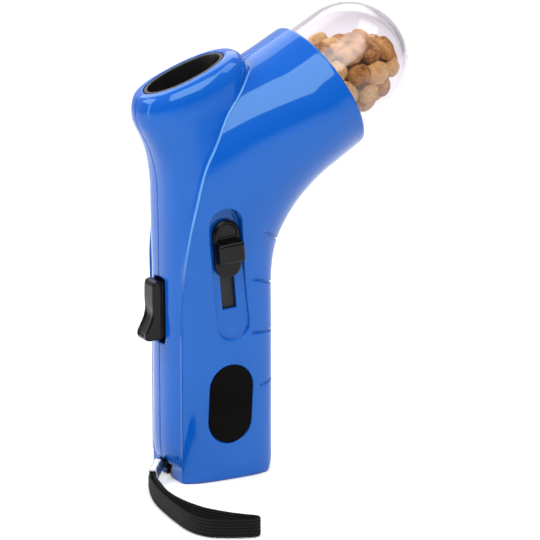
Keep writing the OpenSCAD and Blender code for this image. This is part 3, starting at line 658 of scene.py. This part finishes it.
BAR = (-17.8, 0.0, 5.4)
CRIMP_A, CRIMP_B = np.array([-25.2, -1.6, 6.5]), np.array([-30.7, -6.9, 3.4])
CRIMP_L = float(np.linalg.norm(CRIMP_B - CRIMP_A))
CD = (CRIMP_B - CRIMP_A) / CRIMP_L
CU = np.array([0.0, 0.0, 1.0]) - CD[2] * CD
CU = CU / np.linalg.norm(CU)
CS = np.cross(CU, CD)


def strand(s):
    """One strand of the cord from the crimp's mouth to the bar, on the upper or lower side."""
    return [CRIMP_A + CD * 1.2 + s * 0.75 * CU, CRIMP_A - CD * 1.2 + s * 0.78 * CU, np.array([-22.4, -0.4, 5.85 + s * 0.85]),
            np.array([-20.4, -0.1, 5.5 + s * 1.6])]


turn_round = [np.array([BAR[0] + 2.4 * math.cos(math.radians(a)), 0.0, BAR[2] + 2.4 * math.sin(math.radians(a))]) for a in range(105, -106, -21)]
strap_cord = tube("strap_loop", strand(1) + turn_round + strand(-1)[::-1], 0.92, 18, WEBBING, 0.16, 2.2, 0.06, up=(0, 1, 0))


def crimp_field(f, y):
    q = [f["x"] - CRIMP_A[0], y - CRIMP_A[1], f["z"] - CRIMP_A[2]]
    a, b, c = (sum(q[k] * ax[k] for k in range(3)) for ax in (CD, CS, CU))
    pinch = 0.24 * np.exp(-(((a - 2.9) / 0.6) ** 2)) + 0.24 * np.exp(-(((a - 5.3) / 0.6) ** 2))
    qb, qc = np.abs(b) - (1.9 - 0.9) + pinch, np.abs(c) - (2.6 - 0.9)
    r = np.hypot(np.maximum(qb, 0), np.maximum(qc, 0)) + np.minimum(np.maximum(qb, qc), 0.0) - 0.9
    d = smax(r, np.abs(a - CRIMP_L / 2) - CRIMP_L / 2, 0.6)
    d = np.maximum(d, -np.maximum(np.hypot(b, c) - 1.55, a - 2.2))
    return np.maximum(d, -np.maximum(np.maximum(np.abs(b) - 1.3, np.abs(c) - 2.15), CRIMP_L - 3.2 - a))


crimp = field_mesh("strap_crimp_metal", crimp_field, (-34, -10, 0.1), (-22.4, 1.6, 10), 0.18, CRIMP)

# ---------------------------------------------------------------- body
STEP = 0.5
right_shell = field_mesh("shell_right", lambda f, y: shells(f, y, -1), (-37, -31.5, -1.5), (68, 1.2, 188), STEP, BLUE, flat_values, 0.0)
left_shell = field_mesh("shell_left", lambda f, y: shells(f, y, 1), (-37, -1.2, -1.5), (68, 31.5, 188), STEP, BLUE, flat_values, 0.0)


def ridge_bead(name, side):
    """The raised line along the ridge, thin on the handle and fuller on the bend."""
    z = np.concatenate([np.linspace(8, 80, 20), np.linspace(83, 170.5, 50)])
    x = RIDGE_T(z, 0)
    d, hd, hw, n = flat_values(x, z)["rear"]
    y = hw * np.maximum(1 - np.abs(d / hd) ** n, 0.0) ** (1 / n)
    r = np.interp(z, [8, 60, 92, 155, 170.5], [0.12, 0.16, 0.5, 0.5, 0.3])
    rows = spline(np.stack([x - 0.02, side * (y + 0.1), z, r], 1), 0.4)[0]
    return tube(name, rows[:, :3], rows[:, 3], 14, BLUE_PAINTED_HIGHLIGHT, up=(0, 1, 0), smooth=False)


bead_right, bead_left = ridge_bead("ridge_bead_right", -1), ridge_bead("ridge_bead_left", 1)


def liner_field(f, y):
    d, hl, hw, n = f["liner"]
    o = oval(d, y, hl, hw, n)
    wall = np.abs(o - 0.8) - 0.8
    wall = smax(wall, f["top"] + 0.15, 0.5)
    return np.maximum(wall, f["low_liner"] + 0.1)


liner = field_mesh("barrel_lining", liner_field, (-33.5, -13.8, 141), (9, 13.8, 180), 0.42, INNER, flat_values)


def knob_field(f, y):
    u, w = f["launch"]
    b, c = w - 87.5, -y
    plate = smax(stadium(u, b, 12.0, 24.6), np.abs(c - 17.3) - 1.1, 0.8)
    cap = smax(np.maximum(stadium(u, b, 10.8, 23.4), 4.4 - b), np.abs(c - 18.15) - 0.95, 0.5)
    dish = np.maximum(np.maximum(stadium(u, b, 9.2, 21.8), 5.2 - b) + 0.55 * (19.1 - c), 18.35 - c)
    cap = smax(cap, -dish, 0.3)
    plate = smax(plate, -dish, 0.3)
    qu, qb, qc = np.abs(u) - (5.75 - 1.1), np.abs(b + 1.0) - (4.9 - 0.16 * (c - 18.3) - 1.1), np.abs(c - 20.55) - (2.5 - 1.1)
    bump = np.sqrt(np.maximum(qu, 0) ** 2 + np.maximum(qb, 0) ** 2 + np.maximum(qc, 0) ** 2) + np.minimum(np.maximum(np.maximum(qu, qb), qc), 0.0) - 1.1
    return smin(smin(plate, cap, 0.25), bump, 0.5)


knob = field_mesh("slide_knob", knob_field, (-9, -23.8, 83.5), (8.5, -15.4, 114), 0.22, BLACK, lambda x, z: {"x": x, "z": z, "launch": launch_axes(x, z)})

FINGER = np.array([(-21.6, 84.8), (-27, 85.5), (-28.2, 84.9), (-28.7, 83.4), (-28.8, 78), (-28.6, 73), (-29.2, 69.4), (-30.6, 66),
                   (-32, 63.4), (-32.3, 62), (-31.8, 60.8), (-30.6, 60.2), (-25, 60.4), (-21.8, 60.6)], float)
HUB = np.array([(-17.6, 84.4), (-20.6, 84.6), (-22.6, 84.4), (-22.6, 60.6), (-19.4, 60.8), (-19.4, 62.2), (-21, 63), (-21, 72), (-20.2, 78), (-17.6, 78.6)], float)


def polygon(x, z, pts):
    """Signed distance to a closed outline."""
    best = np.full(np.shape(x), 1e9)
    inside = np.zeros(np.shape(x), bool)
    for i in range(len(pts)):
        a, b = pts[i], pts[i - 1]
        e = b - a
        px, pz = x - a[0], z - a[1]
        t = np.clip((px * e[0] + pz * e[1]) / (e @ e), 0, 1)
        best = np.minimum(best, (px - e[0] * t) ** 2 + (pz - e[1] * t) ** 2)
        cross = (a[1] > z) != (b[1] > z)
        inside ^= cross & (x < (b[0] - a[0]) * (z - a[1]) / (b[1] - a[1] if b[1] != a[1] else 1e-9) + a[0])
    return np.where(inside, -1.0, 1.0) * np.sqrt(best)


def trigger_field(f, y):
    hollow = 0.55 * np.exp(-((np.abs(y) / 2.9) ** 6)) * ease(f["z"], 61.4, 63.2) * (1 - ease(f["z"], 70.5, 75)) * ease(-f["x"], 25.5, 27)
    finger = smax(f["finger"] + hollow, np.abs(y) - 4.5, 1.1)
    hub = np.maximum(f["hub"], np.abs(y) - 3.5)
    boss = np.maximum(np.hypot(f["x"] + 17.6, f["z"] - 81.5) - 3.0, np.abs(y) - 3.5)
    body = np.minimum(finger, np.minimum(hub, boss))
    return np.maximum(body, 1.55 - np.hypot(f["x"] + 17.6, f["z"] - 81.5))


def trigger_flat(x, z):
    # the finger side is hollowed a little along its outline so that corners come out rounded
    return {"x": x, "z": z, "finger": polygon(x, z, FINGER_R) - 0.6, "hub": polygon(x, z, HUB)}


FINGER_R = FINGER + 0.6 * np.array([(-1, -1)] + [(0.2, -1), (0.7, -0.8), (1, -0.4), (1, 0), (1, 0), (1, 0.25), (0.9, 0.45), (0.9, 0.4), (1, 0.1), (0.8, 0.6), (0.3, 1), (0, 1)] + [(-1, 1)])
FINGER_R = np.vstack([FINGER_R[:3], spline(FINGER_R[3:9], 0.5)[0], FINGER_R[9:]])
trigger = field_mesh("trigger_lever", trigger_field, (-34.5, -5.3, 58), (-13.5, 5.3, 87), 0.26, BLACK, trigger_flat)


def plate_field(f, y):
    x, z = f["x"], f["z"]
    c3, s3 = math.cos(math.radians(3)), math.sin(math.radians(3))
    a, b = (x - 0.4) * c3 - (z - 32.8) * s3, (x - 0.4) * s3 + (z - 32.8) * c3
    return smax(stadium(a, b, 19.6, 33.0), np.abs(y + 17.15) - 0.45, 0.45)


plate = field_mesh("oval_plate", plate_field, (-11.5, -18.3, 15), (12.3, -16.2, 50.6), 0.24, PLATE)


# ---------------------------------------------------------------- dome and treats
def hop(h, s, y):
    return np.array([51 + h * S60 - s * C60, y, 160 + h * C60 + s * S60])


def revolve(name, profile, seg, material, extra=()):
    """A closed profile of (h, radius) turned round the hopper axis."""
    k = len(profile)
    verts, faces = [], []
    for i in range(seg):
        t = 2 * math.pi * i / seg
        for h, r in profile:
            verts.append(hop(h, r * math.cos(t), r * math.sin(t)))
    for i in range(seg):
        a, b = i * k, ((i + 1) % seg) * k
        for j in range(k):
            jj = (j + 1) % k
            if profile[j][1] < 1e-6 and profile[jj][1] < 1e-6:
                continue
            faces.append((a + j, a + jj, b + jj, b + j))
    return verts, faces


def make_dome():
    R, T, L = 25.0, 2.0, 16.0
    prof = [(-8.0, R - T + 0.3), (-8.0, R - 0.3), (-7.7, R), (-4, R), (0, R), (5, R), (10.5, R)]
    prof += [(L + R * math.sin(a), R * math.cos(a)) for a in np.linspace(0, math.pi / 2 - 0.012, 40)]
    inner = [(L + (R - T) * math.sin(a), (R - T) * math.cos(a)) for a in np.linspace(math.pi / 2 - 0.012, 0, 40)]
    prof += inner + [(10.5, R - T), (5, R - T), (0, R - T), (-4, R - T), (-7.7, R - T)]
    verts, faces = revolve("dome", prof, 144, DOME)
    k = len(prof)
    top_o, top_i = 6 + 40, 6 + 41
    seg = 144
    faces = [q for q in faces if not {q[0] % k, q[1] % k} == {top_o, top_i}]
    faces.append(tuple(i * k + top_o for i in range(seg)))
    faces.append(tuple(i * k + top_i for i in range(seg))[::-1])
    for turn in (0, math.pi):
        base = len(verts)
        for h in (-7.9, -5.9):
            for r, hwid in ((24.6, 2.5), (26.15, 2.5)):
                for sgn in (-1, 1):
                    t = turn + sgn * hwid / r
                    verts.append(hop(h, -r * math.cos(t), r * math.sin(t)))
        b = base
        faces += [(b, b + 1, b + 3, b + 2), (b + 4, b + 6, b + 7, b + 5), (b, b + 4, b + 5, b + 1), (b + 2, b + 3, b + 7, b + 6), (b, b + 2, b + 6, b + 4), (b + 1, b + 5, b + 7, b + 3)]
    o = mesh_of("clear_cap", np.array(verts), faces, None, DOME)
    import bmesh
    bm = bmesh.new()
    bm.from_mesh(o.data)
    bmesh.ops.recalc_face_normals(bm, faces=bm.faces)
    bm.to_mesh(o.data)
    bm.free()
    for p in o.data.polygons:
        p.use_smooth = True
    o.data.update()
    return o


dome = make_dome()
rng = np.random.default_rng(7)


def treat_centres():
    """A settled heap inside the dome: grid places below a sloping top, then pushed apart and into the dome."""
    tg = 8.35
    axis, base = np.array([S60, 0, C60]), np.array([51.0, 0, 160.0])
    pts = []
    for k in range(-6, 7):
        for j in range(-5, 6):
            for i in range(-5, 6):
                h, s = 14 + k * tg * 0.8165, (j + (abs(k) % 2) / 3) * tg * 0.866
                y = (i + ((abs(j) + abs(k)) % 2) / 2) * tg
                p = hop(h, s, y)
                off = math.hypot(s, y)
                if p[2] < 172.6 + 0.2 * (p[0] - 54) and h > -7 and (off < 18.6 if h < 16 else math.hypot(h - 16, off) < 18.6):
                    pts.append(p)
    pts = np.array(pts) + rng.normal(0, 0.9, (len(pts), 3))
    rad = 4.25 + 0.75 * rng.random(len(pts))
    for it in range(300):
        pts[:, 2] -= 0.015
        d = pts[:, None] - pts[None]
        dist = np.linalg.norm(d, axis=2) + np.eye(len(pts)) * 99
        push = np.maximum(0.97 * (rad[:, None] + rad[None]) - dist, 0) * 0.45
        pts = pts + (d / dist[..., None] * push[..., None]).sum(1) * 0.5
        h = (pts - base) @ axis
        c = base + np.clip(h, -7, 16)[:, None] * axis
        r = pts - c
        far = np.linalg.norm(r, axis=1)
        pts = c + r * np.minimum(1, (22.5 - rad * 1.1) / np.maximum(far, 1e-6))[:, None]
    return pts, rad


def make_treats():
    from mathutils import noise
    pts, rad = treat_centres()
    import bmesh
    ico = bmesh.new()
    bmesh.ops.create_icosphere(ico, subdivisions=4, radius=1.0)
    v0 = np.array([v.co[:] for v in ico.verts])
    f0 = [[v.index for v in f.verts] for f in ico.faces]
    ico.free()
    verts, faces, tone = [], [], []
    for i, (p, r) in enumerate(zip(pts, rad)):
        # the long axis lies along the dome's wall
        out = p - (np.array([51.0, 0, 160.0]) + np.clip((p - np.array([51.0, 0, 160.0])) @ np.array([S60, 0, C60]), -7, 16) * np.array([S60, 0, C60]))
        out = out + rng.normal(0, 1.5, 3)
        q, _ = np.linalg.qr(np.column_stack([out, rng.normal(size=3), rng.normal(size=3)]))
        sc = np.array([0.80 + 0.14 * rng.random(), 1.08 + 0.20 * rng.random(), 0.96 + 0.12 * rng.random()])
        off = rng.random(3) * 50
        bump = np.array([noise.fractal(Vector(v * 1.3 + off), 1.0, 2.0, 4) for v in v0])
        pit = np.array([noise.noise(Vector(v * 4.5 + off)) for v in v0])
        lump = 0.965 + 0.075 * np.clip(bump, -1, 0.8) + 0.03 * np.clip(pit, -1, 0.5)
        local = v0 * sc * lump[:, None] * r
        base = len(verts) * 0 + sum(len(x) for x in verts)
        verts.append(local @ q.T + p)
        faces += [[a + base for a in f] for f in f0]
        tone.append(np.full(len(v0), 0.25 + 0.6 * rng.random()))
    o = mesh_of("kibble_heap", np.vstack(verts), faces, None, KIBBLE)
    at = o.data.attributes.new("tone", "FLOAT", "POINT")
    at.data.foreach_set("value", np.concatenate(tone).astype(np.float32))
    return o


treats = make_treats()

# ---------------------------------------------------------------- springs
coil = []
turns, per = 8, 40
for i in range(turns * per + 1):
    t = i / (turns * per)
    w = 26.7 + (78.9 - 26.7) * t
    a = 2 * math.pi * i / per
    uu, vv = 8.6 * math.cos(a), 8.6 * math.sin(a)
    coil.append((5.5 + uu * CL - w * SL, vv, 12 + w * CL + uu * SL))
spring = tube("drive_spring", coil, 0.7, 12, STEEL, up=(-SL, 0, CL), smooth=False)

# ---------------------------------------------------------------- riding
HOUSE = [(right_shell, "right_shell", "blue_shell"), (left_shell, "left_shell", "blue_shell"), (liner, "muzzle_liner", "black_inner"),
         (plate, "side_plate", "plate"), (treats, "treats", "kibble"), (spring, "main_spring", "steel"),
         (strap, "strap_webbing", "webbing"), (strap_cord, "strap_cord", "webbing"), (crimp, "strap_crimp", "crimp_metal")]
for o, n, s in HOUSE:
    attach(o, "housing")
    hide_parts(n)
for o in (bead_right, bead_left):
    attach(o, "housing")
for o, b, n, s in [(knob, "slide", "cocking_knob", "black_gloss"), (trigger, "trigger", "trigger", "black_gloss"), (dome, "dome", "dome", "clear_dome")]:
    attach(o, b)
    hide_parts(n)
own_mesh(spring)

SKINS = {"launch_tube": INNER, "spring_seat": INNER, "plunger": INNER, "slide_shutter": INNER, "feed_chute": INNER, "hopper_ring": INNER,
         "trigger_bracket": INNER, "plunger_bumper": RUBBER, "dome_gasket": RUBBER, "trigger_pin": STEEL, "trigger_spring": STEEL,
         # strap_anchor is a black plastic part; its black also stands in for the shade inside the strap notch
         "sear": STEEL, "sear_pin": STEEL, "shell_screws": STEEL, "strap_anchor": INNER, "strap_bar": STEEL,
         "right_shell": BLUE, "left_shell": BLUE, "muzzle_liner": INNER, "main_spring": STEEL, "cocking_knob": BLACK, "dome": DOME,
         "treats": KIBBLE, "trigger": BLACK, "side_plate": PLATE, "strap_cord": WEBBING, "strap_crimp": CRIMP, "strap_webbing": WEBBING}
for n, mat in SKINS.items():
    nodes[n].data.materials.clear()
    nodes[n].data.materials.append(mat)

# ---------------------------------------------------------------- studio
floor_mesh = bpy.data.meshes.new("floor")
floor_mesh.from_pydata([(-3, -3, 0), (3, -3, 0), (3, 3, 0), (-3, 3, 0)], [], [(0, 1, 2, 3)])
floor = bpy.data.objects.new("floor", floor_mesh)
scene.collection.objects.link(floor)
fm = Mat("floor_pale").put(Roughness=0.9, Specular_IOR_Level=0.1)
fm.colour(fm.ramp(fm.noise(fm.coords(), 3.0, 2.0), [(0.3, (0.88, 0.88, 0.88)), (0.7, (0.91, 0.91, 0.91))]))
floor_mesh.materials.append(fm.m)

world = bpy.data.worlds.new("studio")
scene.world = world
world.use_nodes = True
wt = world.node_tree
sky = wt.nodes.new("ShaderNodeTexCoord")
split = wt.nodes.new("ShaderNodeSeparateXYZ")
ramp = wt.nodes.new("ShaderNodeValToRGB")
for el, (pos, c) in zip(ramp.color_ramp.elements, [(0.05, (0.16, 0.16, 0.165, 1)), (0.75, (0.85, 0.85, 0.86, 1))]):
    el.position, el.color = pos, c
wt.links.new(sky.outputs["Generated"], split.inputs["Vector"])
wt.links.new(split.outputs["Z"], ramp.inputs["Fac"])
behind = wt.nodes.new("ShaderNodeMapRange")
for k, v in zip(("From Min", "From Max", "To Min", "To Max"), (0.15, 0.8, 0.0, 0.95)):
    behind.inputs[k].default_value = v
both = wt.nodes.new("ShaderNodeVectorMath")
wt.links.new(split.outputs["Y"], behind.inputs["Value"])
wt.links.new(ramp.outputs["Color"], both.inputs[0])
wt.links.new(behind.outputs["Result"], both.inputs[1])
wt.links.new(both.outputs["Vector"], wt.nodes["Background"].inputs["Color"])
wt.nodes["Background"].inputs["Strength"].default_value = 0.64


def softbox(name, place, target, w, h, power):
    light = bpy.data.lights.new(name, "AREA")
    light.shape = "RECTANGLE"
    light.size, light.size_y, light.energy = w, h, power
    o = bpy.data.objects.new(name, light)
    scene.collection.objects.link(o)
    o.location = place
    o.rotation_mode = "QUATERNION"
    o.rotation_quaternion = (Vector(target) - Vector(place)).to_track_quat("-Z", "Y")
    return o


mid = (0.02, 0.0, 0.1)
softbox("front_box", (-0.16, -0.60, 0.88), mid, 0.85, 0.74, 9.4)
softbox("side_strip", (-0.75, 0.05, 0.30), mid, 0.12, 0.8, 0.8)
softbox("back_box", (0.45, 1.0, 1.05), (0.45, 0.85, 0.0), 1.5, 1.1, 10.5)
softbox("top_box", (0.40, -0.20, 0.85), mid, 0.42, 0.42, 1.6)
softbox("left_box", (-0.62, 0.26, 0.60), mid, 0.42, 0.42, 2.6)
